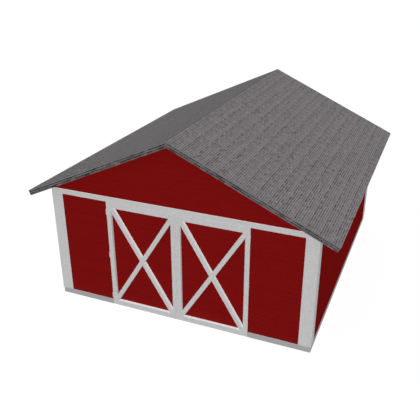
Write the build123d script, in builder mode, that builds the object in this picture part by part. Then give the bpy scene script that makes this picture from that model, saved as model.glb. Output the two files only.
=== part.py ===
# A small gable barn of timber on a concrete foundation: stud walls clad in boards, white trim,
# a shingled gable roof with open eaves, and a pair of framed, cross-braced doors on butt hinges.
# The doors face -Y, X runs across the gable and Z = 0 is the ground.

from build123d import *
import math
import os

os.makedirs("parts", exist_ok=True)

# ---------------------------------------------------------------- driving dimensions, mm

wall_width = 7320  # across the gable, outside the cladding
wall_length = 8350  # front to rear, outside the cladding
side_wall_top = 3342  # where the cladding of a side wall meets the roof's underside

foundation_height = 163
floor_level = 60

siding_thickness = 22
stud_depth = 140
stud_thickness = 38
stud_spacing = 610
gable_rail_depth = 89

trim_proud = 12  # trim stands this far out of the cladding
corner_board_width = 331  # on the gable walls, with the edge of the board round the corner
corner_board_return = 305  # on the side walls
frieze_height = 145
frieze_drop = 15  # from the side wall's top down to the frieze's top edge

roof_angle = 24.42
shingle_thickness = 16
deck_thickness = 19
rafter_depth = 140
tail_depth = 114  # rafter tails are cut shallower outside the wall
seat_length = 100  # birdsmouth seat on the wall plate
eave_overhang = 531
rake_overhang = 331
fascia_thickness = 25
rake_thickness = 38
ridge_board_depth = 184
cap_width = 111  # down each slope
cap_thickness = 6
tie_depth = 140
lookout_spacing = 660

door_pair_width = 3990
door_side_gap = 6
door_head_gap = 6
door_meeting_gap = 6
door_meeting_bevel = 3
door_ground_gap = 6
door_stop_gap = 6
door_frame_thickness = 78
door_panel_thickness = 22
stile_width = 125
top_rail_height = 167
bottom_rail_height = 155
tenon_thickness = 26
tenon_length = 70
tenon_shoulder = 20  # above and below the tenon
tenon_clearance = 0.5  # at the end of the mortise
brace_width = 123
brace_offset = 15  # the rising brace runs this far outside the frame's corners, the falling one inside

jamb_thickness = 32
stop_thickness = 20

hinge_height = 150
hinge_barrel_radius = 8
hinge_pin_radius = 4
hinge_pin_clearance = 0.05
hinge_knuckle_gap = 0.4
hinge_leaf_thickness = 2
hinge_leaf_width = 60
hinge_stand_off = 2  # between the barrel and the door's face
hinge_count = 3
hinge_inset = 300  # from a door's end to the middle of its outermost hinge

# ---------------------------------------------------------------- derived positions

half_width = wall_width / 2
half_length = wall_length / 2
frame_half_width = half_width - siding_thickness
frame_half_length = half_length - siding_thickness
inner_half_width = frame_half_width - stud_depth
inner_half_length = frame_half_length - stud_depth
trim_thickness = siding_thickness + trim_proud

slope = math.radians(roof_angle)
rise = math.tan(slope)
rafter_top = shingle_thickness + deck_thickness
roof_thickness = rafter_top + tail_depth
ridge_top = side_wall_top + half_width * rise + roof_thickness / math.cos(slope)
slope_length = (half_width + eave_overhang) / math.cos(slope)
half_roof_length = half_length + rake_overhang
half_deck_length = half_roof_length - rake_thickness
tail_end = slope_length - fascia_thickness


def roof_z(x, depth):
    """Height of a plane that lies depth below the roof's surface, measured square to it."""
    return ridge_top - abs(x) * rise - depth / math.cos(slope)


def slope_point(along, depth):
    """Point at a distance down the right-hand slope and a depth square to it, as (x, z)."""
    x = along * math.cos(slope) - depth * math.sin(slope)
    z = ridge_top - along * math.sin(slope) - depth * math.cos(slope)
    return (x, z)


def slope_section(side):
    """Section plane of a slope: local x runs down it, local y points out of the roof."""
    return Plane(
        origin=(0, 0, ridge_top),
        x_dir=(side * math.cos(slope), 0, -math.sin(slope)),
        z_dir=(0, -side, 0),
    )


plate_top = roof_z(frame_half_width - seat_length, rafter_top + rafter_depth)
frieze_top = side_wall_top - frieze_drop
doorway_top = frieze_top - frieze_height
corner_board_inner = half_width + trim_proud - corner_board_width
side_siding_end = half_length + trim_proud - corner_board_return

door_outer = door_pair_width / 2
door_inner = door_meeting_gap / 2
door_bottom = door_ground_gap
door_top = doorway_top - door_head_gap
door_height = door_top - door_bottom
door_face = -half_length
door_frame_back = door_face + door_frame_thickness
door_thickness = door_frame_thickness + door_panel_thickness
door_back = door_face + door_thickness
opening_half = door_outer + door_side_gap
stop_front = door_back + door_stop_gap
stop_half = opening_half - stop_thickness
jamb_outer = opening_half + jamb_thickness
head_jamb_top = doorway_top + jamb_thickness
header_half = jamb_outer + stud_thickness

rafter_bays = math.ceil(2 * inner_half_length / stud_spacing)
rafter_pitch = 2 * inner_half_length / rafter_bays
rafter_places = [-inner_half_length + rafter_pitch * i for i in range(1, rafter_bays)]


def box_between(corner, opposite, mode=Mode.ADD):
    """A block given by two opposite corners."""
    size = [abs(b - a) for a, b in zip(corner, opposite)]
    middle = [(a + b) / 2 for a, b in zip(corner, opposite)]
    with Locations(tuple(middle)):
        Box(*size, mode=mode)


def open_bays(start, end, bottom, top):
    """Cut the bays between studs out of a wall sketch, studs evenly spread."""
    span = end - start
    count = math.ceil(span / stud_spacing)
    pitch = (span + stud_thickness) / count
    with Locations(((start + end) / 2, (bottom + top) / 2)):
        with GridLocations(pitch, 0, count, 1):
            Rectangle(pitch - stud_thickness, top - bottom, mode=Mode.SUBTRACT)


def gable_outline(half, bottom):
    """Corners of a gable wall that reaches up to the roof boards."""
    return [
        (-half, bottom),
        (half, bottom),
        (half, roof_z(half, rafter_top)),
        (0, roof_z(0, rafter_top)),
        (-half, roof_z(half, rafter_top)),
    ]


def notch_for_ridge_board():
    """Cut the ridge board's place out of the peak of a gable sketch."""
    with Locations((0, roof_z(stud_thickness / 2, rafter_top))):
        Rectangle(stud_thickness, 2 * ridge_board_depth, mode=Mode.SUBTRACT)


def save(piece, name):
    """Label a finished piece and write its STEP file."""
    piece.part.label = name
    export_step(piece.part, f"parts/{name}.step")


# ---------------------------------------------------------------- foundation and floor

with BuildPart() as foundation_sides:
    for side in (-1, 1):
        box_between(
            (side * inner_half_width, -inner_half_length, 0),
            (side * half_width, inner_half_length, foundation_height),
        )
save(foundation_sides, "foundation_sides")

with BuildPart() as foundation_ends:
    box_between(
        (-half_width, inner_half_length, 0),
        (half_width, half_length, foundation_height),
    )
    for side in (-1, 1):
        box_between(
            (side * opening_half, -half_length, 0),
            (side * half_width, -inner_half_length, foundation_height),
        )
save(foundation_ends, "foundation_ends")

# The floor runs on into the doorway, up to just behind the closed doors.
with BuildPart() as floor_slab:
    box_between(
        (-inner_half_width, -inner_half_length, 0),
        (inner_half_width, inner_half_length, floor_level),
    )
    box_between(
        (-opening_half, stop_front, 0),
        (opening_half, -inner_half_length, floor_level),
    )
save(floor_slab, "floor_slab")

# ---------------------------------------------------------------- stud walls

bay_bottom = foundation_height + stud_thickness
bay_top = plate_top - 2 * stud_thickness
wall_middle = (foundation_height + plate_top) / 2
wall_rise = plate_top - foundation_height

for side, name in ((-1, "left"), (1, "right")):
    with BuildPart() as side_wall_frame:
        wall_plane = Plane(origin=(side * inner_half_width, 0, 0), x_dir=(0, 1, 0), z_dir=(1, 0, 0))
        with BuildSketch(wall_plane):
            with Locations((0, wall_middle)):
                Rectangle(2 * inner_half_length, wall_rise)
            open_bays(
                stud_thickness - inner_half_length,
                inner_half_length - stud_thickness,
                bay_bottom,
                bay_top,
            )
        extrude(amount=side * stud_depth)
    save(side_wall_frame, f"{name}_wall_frame")

with BuildPart() as rear_wall_frame:
    with BuildSketch(Plane.XZ.offset(-frame_half_length)):
        with Locations((0, wall_middle)):
            Rectangle(2 * frame_half_width, wall_rise)
        open_bays(
            stud_thickness - frame_half_width,
            frame_half_width - stud_thickness,
            bay_bottom,
            bay_top,
        )
    extrude(amount=stud_depth)
save(rear_wall_frame, "rear_wall_frame")

# The doorway's studs come in pairs: the outer runs up to the plate, the inner carries the header.
with BuildPart() as front_wall_frame:
    with BuildSketch(Plane.XZ.offset(inner_half_length)):
        with Locations(((jamb_outer + frame_half_width) / 2, wall_middle)):
            Rectangle(frame_half_width - jamb_outer, wall_rise)
        with Locations(((jamb_outer + header_half) / 2, (head_jamb_top + plate_top) / 2)):
            Rectangle(header_half - jamb_outer, plate_top - head_jamb_top, mode=Mode.SUBTRACT)
        open_bays(
            header_half + stud_thickness,
            frame_half_width - stud_thickness,
            bay_bottom,
            bay_top,
        )
        mirror(about=Plane.YZ)
    extrude(amount=stud_depth)
save(front_wall_frame, "front_wall_frame")

with BuildPart() as door_header:
    box_between(
        (-header_half, -frame_half_length, head_jamb_top),
        (header_half, -inner_half_length, plate_top),
    )
save(door_header, "door_header")

gable_rail_bottom = rafter_top + gable_rail_depth
gable_sill_top = plate_top + stud_thickness
gable_void_half = (roof_z(0, gable_rail_bottom) - gable_sill_top) / rise
gable_stud_count = 2 * math.floor(gable_void_half / stud_spacing) + 1

with BuildPart() as gable_frames:
    with BuildSketch(
        Plane.XZ.offset(inner_half_length),
        Plane.XZ.offset(-frame_half_length),
    ):
        with BuildLine():
            Polyline(*gable_outline(frame_half_width, plate_top), close=True)
        make_face()
        with BuildLine():
            Polyline(
                (-gable_void_half, gable_sill_top),
                (gable_void_half, gable_sill_top),
                (0, roof_z(0, gable_rail_bottom)),
                close=True,
            )
        make_face(mode=Mode.SUBTRACT)
        with Locations((0, (plate_top + ridge_top) / 2)):
            with GridLocations(stud_spacing, 0, gable_stud_count, 1):
                Rectangle(stud_thickness, ridge_top - plate_top)
        with BuildLine():
            Polyline(*gable_outline(frame_half_width, plate_top), close=True)
        make_face(mode=Mode.INTERSECT)
        notch_for_ridge_board()
    extrude(amount=stud_depth)
save(gable_frames, "gable_frames")

# ---------------------------------------------------------------- cladding

for side, name in ((-1, "left"), (1, "right")):
    with BuildPart() as side_siding:
        box_between(
            (side * frame_half_width, -side_siding_end, foundation_height),
            (side * half_width, side_siding_end, side_wall_top),
        )
    save(side_siding, f"{name}_wall_siding")

with BuildPart() as front_wall_siding:
    for side in (-1, 1):
        box_between(
            (side * opening_half, -half_length, foundation_height),
            (side * corner_board_inner, -frame_half_length, doorway_top),
        )
save(front_wall_siding, "front_wall_siding")

with BuildPart() as rear_wall_siding:
    box_between(
        (-corner_board_inner, frame_half_length, foundation_height),
        (corner_board_inner, half_length, doorway_top),
    )
save(rear_wall_siding, "rear_wall_siding")

with BuildPart() as gable_siding:
    with BuildSketch(
        Plane.XZ.offset(frame_half_length),
        Plane.XZ.offset(-half_length),
    ):
        with BuildLine():
            Polyline(*gable_outline(frame_half_width, frieze_top), close=True)
        make_face()
        notch_for_ridge_board()
    extrude(amount=siding_thickness)
save(gable_siding, "gable_siding")

# ---------------------------------------------------------------- trim

trim_planes = (
    Plane.XZ.offset(frame_half_length),
    Plane.XZ.offset(-half_length - trim_proud),
)

with BuildPart() as frieze_boards:
    with BuildSketch(*trim_planes):
        with Locations((0, (doorway_top + frieze_top) / 2)):
            Rectangle(2 * frame_half_width, frieze_height)
    extrude(amount=trim_thickness)
save(frieze_boards, "frieze_boards")

with BuildPart() as gable_corner_boards:
    with BuildSketch(*trim_planes):
        with Locations((0, (foundation_height + doorway_top) / 2)):
            with GridLocations(corner_board_inner + frame_half_width, 0, 2, 1):
                Rectangle(frame_half_width - corner_board_inner, doorway_top - foundation_height)
    extrude(amount=trim_thickness)
save(gable_corner_boards, "gable_corner_boards")

# The boards on the side walls lap over the edges of those on the gable walls.
side_board_top = roof_z(half_width + trim_proud, roof_thickness)

with BuildPart() as side_corner_boards:
    with Locations((0, 0, (foundation_height + side_board_top) / 2)):
        with GridLocations(
            2 * frame_half_width + trim_thickness,
            2 * (half_length + trim_proud) - corner_board_return,
            2,
            2,
        ):
            Box(trim_thickness, corner_board_return, side_board_top - foundation_height)
save(side_corner_boards, "side_corner_boards")

# ---------------------------------------------------------------- roof timbers

ridge_half = stud_thickness / 2
ridge_shoulder = roof_z(ridge_half, rafter_top)

with BuildPart() as ridge_board:
    with BuildSketch(Plane.XZ):
        with BuildLine():
            Polyline(
                (-ridge_half, ridge_shoulder - ridge_board_depth),
                (ridge_half, ridge_shoulder - ridge_board_depth),
                (ridge_half, ridge_shoulder),
                (0, roof_z(0, rafter_top)),
                (-ridge_half, ridge_shoulder),
                close=True,
            )
        make_face()
    extrude(amount=half_deck_length, both=True)
save(ridge_board, "ridge_board")

# Each rafter has a plumb cut at the ridge, a birdsmouth over the plate and a shallower tail.
with BuildPart() as rafters:
    with BuildSketch(*[Plane.XZ.offset(-place - stud_thickness / 2) for place in rafter_places]):
        with BuildLine():
            Polyline(
                (ridge_half, roof_z(ridge_half, rafter_top)),
                slope_point(tail_end, rafter_top),
                slope_point(tail_end, roof_thickness),
                (frame_half_width, roof_z(frame_half_width, roof_thickness)),
                (frame_half_width, plate_top),
                (frame_half_width - seat_length, plate_top),
                (ridge_half, roof_z(ridge_half, rafter_top + rafter_depth)),
                close=True,
            )
        make_face()
        mirror(about=Plane.YZ)
    extrude(amount=stud_thickness)
save(rafters, "rafters")

# Blocks close the eaves between the rafters, over the side walls' plates.
block_inner = frame_half_width - stud_thickness
block_starts = [-inner_half_length] + [place + stud_thickness / 2 for place in rafter_places]
block_ends = [place - stud_thickness / 2 for place in rafter_places] + [inner_half_length]

with BuildPart() as eave_blocks:
    for start, end in zip(block_starts, block_ends):
        with BuildSketch(Plane.XZ.offset(-start)):
            with BuildLine():
                Polyline(
                    (block_inner, plate_top),
                    (frame_half_width, plate_top),
                    (frame_half_width, roof_z(frame_half_width, rafter_top)),
                    (block_inner, roof_z(block_inner, rafter_top)),
                    close=True,
                )
            make_face()
            mirror(about=Plane.YZ)
        extrude(amount=start - end)
save(eave_blocks, "eave_blocks")

# Ties lie beside every second pair of rafters and stand on the side walls' plates.
tie_faces = [place + stud_thickness / 2 for place in rafter_places[::2]]

with BuildPart() as tie_beams:
    with BuildSketch(*[Plane.XZ.offset(-face - stud_thickness) for face in tie_faces]):
        with BuildLine():
            Polyline(*gable_outline(block_inner, plate_top), close=True)
        make_face()
        with Locations((0, plate_top + tie_depth / 2)):
            Rectangle(2 * block_inner, tie_depth, mode=Mode.INTERSECT)
    extrude(amount=stud_thickness)
save(tie_beams, "tie_beams")

# Lookouts carry the rake boards out from the gable walls.
lookout_count = math.floor((slope_length - cap_width) / lookout_spacing)
lookout_start = (slope_length - (lookout_count - 1) * lookout_spacing) / 2
lookout_places = [
    (lookout_start + i * lookout_spacing, -rafter_top - tail_depth / 2) for i in range(lookout_count)
]

with BuildPart() as lookouts:
    with BuildSketch(
        slope_section(1).offset(half_length),
        slope_section(1).offset(-half_deck_length),
        slope_section(-1).offset(half_length),
        slope_section(-1).offset(-half_deck_length),
    ):
        with Locations(*lookout_places):
            Rectangle(stud_thickness, tail_depth)
    extrude(amount=half_deck_length - half_length)
save(lookouts, "lookouts")

# ---------------------------------------------------------------- roof covering and edges


def slope_layer(top, bottom, end):
    """Outline of a layer of one slope, cut plumb at the ridge and square at the eave."""
    return [(top * rise, -top), (end, -top), (end, -bottom), (bottom * rise, -bottom)]


for side, name in ((-1, "left"), (1, "right")):
    with BuildPart() as roof_deck:
        with BuildSketch(slope_section(side)):
            with BuildLine():
                Polyline(*slope_layer(shingle_thickness, rafter_top, tail_end), close=True)
            make_face()
        extrude(amount=half_deck_length, both=True)
    save(roof_deck, f"{name}_roof_deck")

    with BuildPart() as roof_shingles:
        with BuildSketch(slope_section(side)):
            with BuildLine():
                Polyline(*slope_layer(0, shingle_thickness, slope_length), close=True)
            make_face()
        extrude(amount=half_roof_length, both=True)
    save(roof_shingles, f"{name}_roof_shingles")

    with BuildPart() as rake_boards:
        with BuildSketch(
            slope_section(side).offset(half_deck_length),
            slope_section(side).offset(-half_roof_length),
        ):
            with BuildLine():
                Polyline(*slope_layer(shingle_thickness, roof_thickness, slope_length), close=True)
            make_face()
        extrude(amount=rake_thickness)
    save(rake_boards, f"{name}_rake_boards")

with BuildPart() as fascia_boards:
    with BuildSketch(slope_section(1), slope_section(-1)):
        with Locations((slope_length - fascia_thickness / 2, -(shingle_thickness + roof_thickness) / 2)):
            Rectangle(fascia_thickness, roof_thickness - shingle_thickness)
    extrude(amount=half_deck_length, both=True)
save(fascia_boards, "fascia_boards")

with BuildPart() as ridge_cap:
    with BuildSketch(Plane.XZ):
        with BuildLine():
            Polyline(
                (0, roof_z(0, 0)),
                slope_point(cap_width, 0),
                slope_point(cap_width, -cap_thickness),
                (0, roof_z(0, -cap_thickness)),
                close=True,
            )
        make_face()
        mirror(about=Plane.YZ)
    extrude(amount=half_roof_length, both=True)
save(ridge_cap, "ridge_cap")

# ---------------------------------------------------------------- doorway lining

# The jambs are rebated: their inner part is the stop that the doors close against.
with BuildPart() as door_jambs:
    for side in (-1, 1):
        box_between(
            (side * opening_half, -frame_half_length, foundation_height),
            (side * jamb_outer, -inner_half_length, doorway_top),
        )
        box_between(
            (side * stop_half, stop_front, floor_level),
            (side * opening_half, -inner_half_length, doorway_top),
        )
save(door_jambs, "door_jambs")

with BuildPart() as head_jamb:
    box_between(
        (-jamb_outer, -frame_half_length, doorway_top),
        (jamb_outer, -inner_half_length, head_jamb_top),
    )
    box_between(
        (-stop_half, stop_front, doorway_top - stop_thickness),
        (stop_half, -inner_half_length, doorway_top),
    )
save(head_jamb, "head_jamb")

# ---------------------------------------------------------------- doors

# The frame is thick stuff with the panel's boards fixed over its back. The rails are tenoned into
# the stiles, and the braces are halved into each other and fitted into the corners.
field_left = door_inner + stile_width
field_right = door_outer - stile_width
field_bottom = door_bottom + bottom_rail_height
field_top = door_top - top_rail_height
field_width = field_right - field_left
field_height = field_top - field_bottom
field_x = (field_left + field_right) / 2
field_z = (field_bottom + field_top) / 2
rail_places = ((door_bottom + field_bottom) / 2, (field_top + door_top) / 2)
rail_heights = (bottom_rail_height, top_rail_height)
tenon_y = (door_face + door_frame_back) / 2
rising_tilt = math.degrees(math.atan2(field_height, field_width + 2 * brace_offset))
falling_tilt = -math.degrees(math.atan2(field_height, field_width - 2 * brace_offset))
brace_reach = field_width + field_height
bevel_per_depth = door_meeting_bevel / door_thickness
bevel_at_frame_back = bevel_per_depth * door_frame_thickness
lap_depth = door_frame_thickness / 2

for side, name in ((-1, "left"), (1, "right")):
    # The meeting edge is bevelled, so that it clears the other door as it swings out.
    with BuildPart() as stiles:
        with BuildSketch(Plane.XY.offset(door_bottom)):
            with BuildLine():
                Polyline(
                    (side * door_inner, door_face),
                    (side * field_left, door_face),
                    (side * field_left, door_frame_back),
                    (side * (door_inner + bevel_at_frame_back), door_frame_back),
                    close=True,
                )
            make_face()
            with Locations((side * (field_right + door_outer) / 2, tenon_y)):
                Rectangle(stile_width, door_frame_thickness)
        extrude(amount=door_height)
        for rail_z, rail_height in zip(rail_places, rail_heights):
            with Locations((side * field_x, tenon_y, rail_z)):
                Box(
                    field_width + 2 * (tenon_length + tenon_clearance),
                    tenon_thickness,
                    rail_height - 2 * tenon_shoulder,
                    mode=Mode.SUBTRACT,
                )
    save(stiles, f"{name}_door_stiles")

    with BuildPart() as rails:
        for rail_z, rail_height in zip(rail_places, rail_heights):
            with Locations((side * field_x, tenon_y, rail_z)):
                Box(field_width, door_frame_thickness, rail_height)
                Box(
                    field_width + 2 * tenon_length,
                    tenon_thickness,
                    rail_height - 2 * tenon_shoulder,
                )
    save(rails, f"{name}_door_rails")

    with BuildPart() as panel:
        with BuildSketch(Plane.XY.offset(door_bottom)):
            with BuildLine():
                Polyline(
                    (side * (door_inner + bevel_at_frame_back), door_frame_back),
                    (side * door_outer, door_frame_back),
                    (side * door_outer, door_back),
                    (side * (door_inner + door_meeting_bevel), door_back),
                    close=True,
                )
            make_face()
        extrude(amount=door_height)
    save(panel, f"{name}_door_panel")

    for brace_name, tilt, other_tilt, lap_back in (
        ("rising", rising_tilt, falling_tilt, door_frame_back),
        ("falling", falling_tilt, rising_tilt, door_frame_back - lap_depth),
    ):
        with BuildPart() as brace:
            with BuildSketch(Plane.XZ.offset(-door_frame_back)):
                with Locations((side * field_x, field_z)):
                    Rectangle(field_width, field_height)
                    Rectangle(brace_reach, brace_width, rotation=tilt, mode=Mode.INTERSECT)
            extrude(amount=door_frame_thickness)
            with BuildSketch(Plane.XZ.offset(-lap_back)):
                with Locations((side * field_x, field_z)):
                    Rectangle(brace_reach, brace_width, rotation=other_tilt)
            extrude(amount=lap_depth, mode=Mode.SUBTRACT)
        save(brace, f"{name}_door_{brace_name}_brace")

# ---------------------------------------------------------------- hinges

hinge_x = (door_outer + opening_half) / 2
hinge_y = door_face - hinge_barrel_radius - hinge_stand_off
hinge_spacing = (door_height - 2 * hinge_inset) / (hinge_count - 1)
hinge_heights = [door_bottom + hinge_inset + i * hinge_spacing for i in range(hinge_count)]
knuckle_height = (hinge_height - 2 * hinge_knuckle_gap) / 3
knuckle_pitch = knuckle_height + hinge_knuckle_gap
door_leaf = (door_outer, door_outer + hinge_leaf_thickness)
jamb_leaf = (opening_half - hinge_leaf_thickness, opening_half)


def hinge_leaf(side, leaf, height):
    """Flat plate of one leaf, standing in the gap beside the door."""
    box_between(
        (side * leaf[0], door_face, height - hinge_height / 2),
        (side * leaf[1], door_face + hinge_leaf_width, height + hinge_height / 2),
    )


def hinge_knuckle(side, leaf, height):
    """One knuckle round the pin, with the tab that joins it to its leaf."""
    box_between(
        (side * leaf[0], hinge_y, height - knuckle_height / 2),
        (side * leaf[1], door_face, height + knuckle_height / 2),
    )
    with Locations((side * hinge_x, hinge_y, height)):
        Cylinder(hinge_barrel_radius, knuckle_height)


for side, name in ((-1, "left"), (1, "right")):
    with BuildPart() as door_hinges:
        for height in hinge_heights:
            hinge_leaf(side, door_leaf, height)
            hinge_knuckle(side, door_leaf, height)
            with Locations((side * hinge_x, hinge_y, height)):
                Cylinder(hinge_pin_radius + hinge_pin_clearance, hinge_height, mode=Mode.SUBTRACT)
    save(door_hinges, f"{name}_door_hinges")

# The pins are fast in the jamb's knuckles and turn in the door's.
with BuildPart() as jamb_hinges:
    for side in (-1, 1):
        for height in hinge_heights:
            hinge_leaf(side, jamb_leaf, height)
            hinge_knuckle(side, jamb_leaf, height - knuckle_pitch)
            hinge_knuckle(side, jamb_leaf, height + knuckle_pitch)
            with Locations((side * hinge_x, hinge_y, height)):
                Cylinder(hinge_pin_radius, hinge_height)
save(jamb_hinges, "jamb_hinges")
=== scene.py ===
import math
import random

import bmesh
import bpy
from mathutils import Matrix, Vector


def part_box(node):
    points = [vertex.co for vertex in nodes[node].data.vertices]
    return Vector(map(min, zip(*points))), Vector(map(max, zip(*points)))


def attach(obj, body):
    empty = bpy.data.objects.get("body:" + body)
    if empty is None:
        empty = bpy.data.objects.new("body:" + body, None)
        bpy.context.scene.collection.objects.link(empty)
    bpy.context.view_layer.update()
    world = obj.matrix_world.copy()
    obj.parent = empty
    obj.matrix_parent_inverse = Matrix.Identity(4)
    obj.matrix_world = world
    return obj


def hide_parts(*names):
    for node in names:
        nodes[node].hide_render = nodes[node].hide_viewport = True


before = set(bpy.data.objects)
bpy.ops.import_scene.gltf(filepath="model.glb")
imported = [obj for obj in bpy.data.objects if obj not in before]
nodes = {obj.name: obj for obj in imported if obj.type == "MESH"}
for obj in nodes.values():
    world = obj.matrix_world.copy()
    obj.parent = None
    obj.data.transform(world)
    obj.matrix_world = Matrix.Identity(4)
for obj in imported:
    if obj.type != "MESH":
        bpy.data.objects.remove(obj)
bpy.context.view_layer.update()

rng = random.Random(24)
scene = bpy.context.scene

# where the barn is seen from
view = {
    "place": (5.771, -15.779, 9.300),
    "turn": 22.539,  # to the left of straight ahead
    "tilt": -24.936,  # down from level
    "lens": 49.289,
    "film": 36,
    "farthest": 500,
}


def newObject(name, data):
    made = bpy.data.objects.new(name, data)
    scene.collection.objects.link(made)
    return made


cameraData = bpy.data.cameras.new("viewCamera")
cameraData.lens = view["lens"]
cameraData.sensor_width = view["film"]
cameraData.clip_end = view["farthest"]
camera = newObject("viewCamera", cameraData)
camera.location = view["place"]
camera.rotation_euler = (math.radians(90 + view["tilt"]), 0, math.radians(view["turn"]))
scene.camera = camera
print("camera ready")


def addNode(tree, kind, **sockets):
    node = tree.nodes.new("ShaderNode" + kind)
    for name, value in sockets.items():
        feed(tree, node.inputs[name.replace("_", " ")], value)
    return node


def feed(tree, socket, value):
    # a socket is linked, anything else is written on it
    if isinstance(value, bpy.types.NodeSocket):
        tree.links.new(value, socket)
    elif socket.type == "RGBA":
        socket.default_value = (*value, 1)
    else:
        socket.default_value = value


def maths(tree, what, first, second=0.0, kind="Math"):
    node = addNode(tree, kind)
    node.operation = what
    feed(tree, node.inputs[0], first)
    feed(tree, node.inputs[1], second)
    return node.outputs[0]


def times(tree, first, second):
    return maths(tree, "MULTIPLY", first, second)


def blendColour(tree, amount, first, second, how="MIX"):
    node = addNode(tree, "Mix")
    node.data_type = "RGBA"
    node.blend_type = how
    feed(tree, node.inputs["Factor"], amount)
    under, over, result = (s for s in (*node.inputs, *node.outputs) if s.type == "RGBA")
    feed(tree, under, first)
    feed(tree, over, second)
    return result


def spread(tree, value, low, high, toLow, toHigh, smooth=False):
    node = addNode(tree, "MapRange")
    if smooth:
        node.interpolation_type = "SMOOTHSTEP"
    for socket, number in zip(node.inputs, (value, low, high, toLow, toHigh)):
        feed(tree, socket, number)
    return node.outputs["Result"]


noiseRange = (0.3, 0.7)  # where most of a noise lies


def varied(tree, value, amount):
    # a factor about 1 that follows a noise
    return spread(tree, value, *noiseRange, 1 - amount, 1 + amount)


def divided(tree, vector, sizes):
    return maths(tree, "DIVIDE", vector, sizes, "VectorMath")


def noise(tree, vector, scale, detail, roughness, bend=0.0):
    node = addNode(tree, "TexNoise", Vector=vector, Scale=scale, Detail=detail, Roughness=roughness)
    node.inputs["Distortion"].default_value = bend
    return node.outputs["Fac"]


def attribute(tree, name, output="Fac"):
    node = addNode(tree, "Attribute")
    node.attribute_name = name
    return node.outputs[output]


def objectPlace(tree):
    return addNode(tree, "TexCoord").outputs["Object"]


def newGroup(name, inputs, outputs):
    # takes a vector and these numbers, and gives numbers
    group = bpy.data.node_groups.new(name, "ShaderNodeTree")

    def addSocket(label, way, kind="Float"):
        group.interface.new_socket(name=label, in_out=way, socket_type="NodeSocket" + kind)

    addSocket("Vector", "INPUT", "Vector")
    for label in inputs:
        addSocket(label, "INPUT")
    for label in outputs:
        addSocket(label, "OUTPUT")
    given = group.nodes.new("NodeGroupInput").outputs
    result = group.nodes.new("NodeGroupOutput").inputs
    return group, given, result


def useGroup(tree, group, **values):
    node = addNode(tree, "Group")
    node.node_tree = group
    for name, value in values.items():
        feed(tree, node.inputs[name], value)
    return node.outputs


effects = {
    "fibreScale": 1 / 0.18,  # beside the streaks
    "ringScale": 1 / 3,
    "ringBands": 60.0,
    "wearSoftness": 0.08,
    "dustSpecks": 9.0,
    "dustCover": (0.35, 0.75, 0.2, 1.0),
}


def makeBoardGrain():
    # long streaks, fine fibres and the flowing bands of the growth rings
    tree, given, result = newGroup("boardGrain", ["Length", "Width"], ["Streaks", "Fibres", "Rings"])
    sizes = addNode(tree, "CombineXYZ", X=given["Length"], Y=given["Width"], Z=given["Width"])
    place = divided(tree, given["Vector"], sizes.outputs[0])
    feed(tree, result["Streaks"], noise(tree, place, 1.0, 4.0, 0.6, 0.4))
    feed(tree, result["Fibres"], noise(tree, place, effects["fibreScale"], 3.0, 0.7))
    flow = noise(tree, place, effects["ringScale"], 2.0, 0.5, 0.3)
    bands = maths(tree, "SINE", times(tree, flow, effects["ringBands"]))
    feed(tree, result["Rings"], spread(tree, bands, -1.0, 1.0, 0.0, 1.0))
    return tree


def makeEdgeWear():
    # wear along eased edges, in patches
    tree, given, result = newGroup("edgeWear", ["Edge", "Amount", "Patch"], ["Mask"])
    patches = noise(tree, divided(tree, given["Vector"], given["Patch"]), 1.0, 4.0, 0.65)
    limit = maths(tree, "SUBTRACT", 1.0, given["Amount"])
    low, high = (maths(tree, what, limit, effects["wearSoftness"]) for what in ("SUBTRACT", "ADD"))
    worn = spread(tree, patches, low, high, 0.0, 1.0)
    feed(tree, result["Mask"], times(tree, worn, given["Edge"]))
    return tree


def makeGroundDust():
    # earth that the rain throws up near the ground
    tree, given, result = newGroup("groundDust", ["Reach", "Amount"], ["Mask"])
    height = addNode(tree, "SeparateXYZ", Vector=given["Vector"]).outputs["Z"]
    low = spread(tree, height, 0.0, given["Reach"], 1.0, 0.0, True)
    specks = noise(tree, given["Vector"], effects["dustSpecks"], 5.0, 0.7)
    cover = times(tree, low, spread(tree, specks, *effects["dustCover"]))
    feed(tree, result["Mask"], times(tree, cover, given["Amount"]))
    return tree


def makeMottle():
    # soft uneven tone, as a factor about 1
    tree, given, result = newGroup("mottle", ["Size", "Range"], ["Factor"])
    clouds = noise(tree, divided(tree, given["Vector"], given["Size"]), 1.0, 5.0, 0.6, 0.2)
    swing = times(tree, maths(tree, "SUBTRACT", clouds, 0.5), given["Range"])
    feed(tree, result["Factor"], maths(tree, "ADD", 1.0, times(tree, swing, 2.0)))
    return tree


boardGrain = makeBoardGrain()
edgeWear = makeEdgeWear()
groundDust = makeGroundDust()
mottle = makeMottle()
print("shared effects ready")


def emptyTree(owner):
    owner.use_nodes = True
    owner.node_tree.nodes.clear()
    return owner.node_tree


def newMaterial(name):
    material = bpy.data.materials.new(name)
    return material, emptyTree(material)


def finishMaterial(material, look, colour, relief, uneven, limits=noiseRange):
    # the roughness follows what is uneven between the limits
    tree = material.node_tree
    bumps = addNode(tree, "Bump", Height=relief, Distance=look["relief"]).outputs["Normal"]
    rough = spread(tree, uneven, *limits, *look["rough"])
    shader = addNode(tree, "BsdfPrincipled", Base_Color=colour, Roughness=rough, Normal=bumps)
    shader.inputs["Specular IOR Level"].default_value = look["gloss"]
    addNode(tree, "OutputMaterial", Surface=shader.outputs["BSDF"])
    return material


def toned(tree, colour, *factors):
    # multiplies a colour by each factor
    for factor in factors:
        grey = addNode(tree, "CombineColor", Red=factor, Green=factor, Blue=factor).outputs[0]
        colour = blendColour(tree, 1.0, colour, grey, "MULTIPLY")
    return colour


def clouded(tree, place, size, amount):
    return useGroup(tree, mottle, Vector=place, Size=size, Range=amount)["Factor"]


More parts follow.
